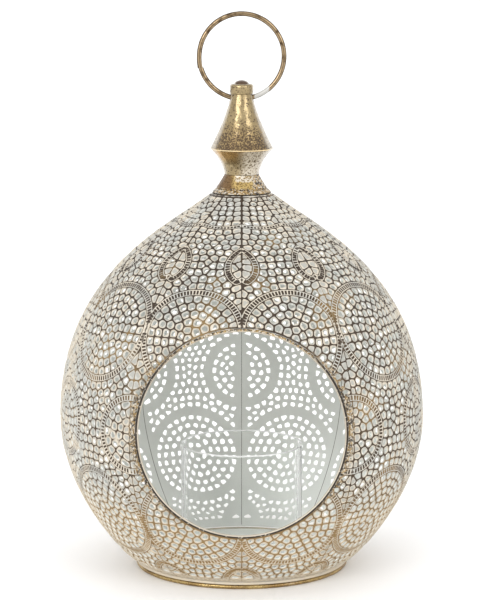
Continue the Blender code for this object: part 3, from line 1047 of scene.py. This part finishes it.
def wire_curve(points, radii, closed):
    """A round wire through points, with its radius at each, all in mm."""
    curve = bpy.data.curves.new("wire", "CURVE")
    curve.dimensions = "3D"
    curve.bevel_depth = MM
    curve.bevel_resolution = 5
    curve.use_fill_caps = not closed
    spline = curve.splines.new("POLY")
    spline.points.add(len(points) - 1)
    for knot, place, radius in zip(spline.points, points, radii):
        knot.co = (*(coordinate * MM for coordinate in place), 1)
        knot.radius = radius
    spline.use_cyclic_u = closed
    spline.use_smooth = True
    return curve


def make_opening_rim(gold):
    """The wire round the opening, a little lumpy with solder."""
    points, radii = [], []
    for step in range(RIM_STEPS):
        angle = 2 * pi * step / RIM_STEPS
        x = RIM_REACH * cos(angle)
        z = OPENING_HEIGHT + RIM_REACH * sin(angle)
        radius = float(np.interp(z, OUTLINE[:, 1], OUTLINE[:, 0])) - SHEET / 2
        points.append((x, -sqrt(radius ** 2 - x ** 2), z))
        radii.append(RIM_WIRE + 0.16 * noise.noise(Vector(points[-1]) * 0.12))
    curve = wire_curve(points, radii, True)
    add_piece("rim_wire", curve, "lantern", [gold], ["opening_rim"])


def make_ring(gold):
    """The carrying ring; its two ends meet at the lower left, one of them sprung a little outwards."""
    gap = 0.004
    points, radii = [], []
    for step in range(RING_STEPS):
        part = step / (RING_STEPS - 1)
        angle = RING_JOINT + gap / 2 + (2 * pi - gap) * part
        reach = RING_REACH + RING_SPRUNG * max(0.0, (part - 0.93) / 0.07) ** 2
        points.append((reach * cos(angle), 0, RING_MIDDLE + reach * sin(angle)))
        radii.append(RING_WIRE + 0.07 * noise.noise(Vector(points[-1]) * 0.2))
    curve = wire_curve(points, radii, False)
    add_piece("carrying_ring", curve, "ring", [gold], ["ring_handle"])


def dress_frame(plate_paint, paint, steel):
    """The CAD nodes that stay in view get the finished materials."""
    dressings = {"floor_plate": plate_paint, "neck_plate": paint, "neck_washer": steel, "finial_screw": steel}
    for name, material in dressings.items():
        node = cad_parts[name]
        node.data.materials.clear()
        node.data.materials.append(material)


# Stage


def make_stage():
    """A pale floor under a white studio."""
    bpy.ops.mesh.primitive_plane_add(size=60, location=(0, 0, 0))
    floor = bpy.context.object
    floor.name = "floor"
    material, tree, shader, where = start("pale_floor", 0.7, 0.0)
    put(tree, shader.inputs["Base Color"], mix(tree, grain(tree, where, 0.5, 2), *FLOORS))
    floor.data.materials.append(material)
    world = bpy.data.worlds.new("studio")
    world.use_nodes = True
    background = world.node_tree.nodes["Background"]
    background.inputs["Color"].default_value = (1, 1, 1, 1)
    background.inputs["Strength"].default_value = STUDIO_LIGHT
    bpy.context.scene.world = world
    bpy.context.scene.view_settings.view_transform = "Standard"


def add_soft_sun(name, place, strength):
    """A wide softbox, far away towards a place."""
    data = bpy.data.lights.new(name, "SUN")
    data.energy = strength
    data.angle = SUN_SPREAD
    lamp = bpy.data.objects.new(name, data)
    bpy.context.scene.collection.objects.link(lamp)
    lamp.location = place
    lamp.rotation_euler = (-Vector(place)).to_track_quat("-Z", "Y").to_euler()


def make_camera():
    data = bpy.data.cameras.new("camera")
    data.sensor_width = CAMERA_SENSOR
    data.lens = CAMERA_LENS
    data.clip_start = 0.05
    camera = bpy.data.objects.new("camera", data)
    bpy.context.scene.collection.objects.link(camera)
    camera.location = CAMERA_PLACE
    camera.rotation_euler = Euler((pi / 2 - CAMERA_PITCH, 0, 0))
    bpy.context.scene.camera = camera


def main():
    make_camera()
    make_stage()
    add_soft_sun("left", (-0.95, -1.6, 0.73), 1.15)
    add_soft_sun("right", (1.25, -1.4, 0.73), 0.65)
    gilt = make_gilt_whitewash("gilt_whitewash")
    plain_gilt = make_gilt_whitewash("rubbed_whitewash", 0.7)
    paint = make_grey_paint("grey_paint", 0.70)
    plate_paint = make_grey_paint("plate_paint", 0.86)
    steel = make_steel()
    for number in range(1, GORES + 1):
        Gore(number).build([gilt, paint])
    make_opening_rim(make_rim_gold())
    make_foot([plain_gilt], make_foot_gold())
    make_glass(make_clear_glass())
    make_collar(make_collar_gold())
    make_finial(make_finial_gold())
    make_ring(make_ring_gold())
    dress_frame(plate_paint, paint, steel)


main()
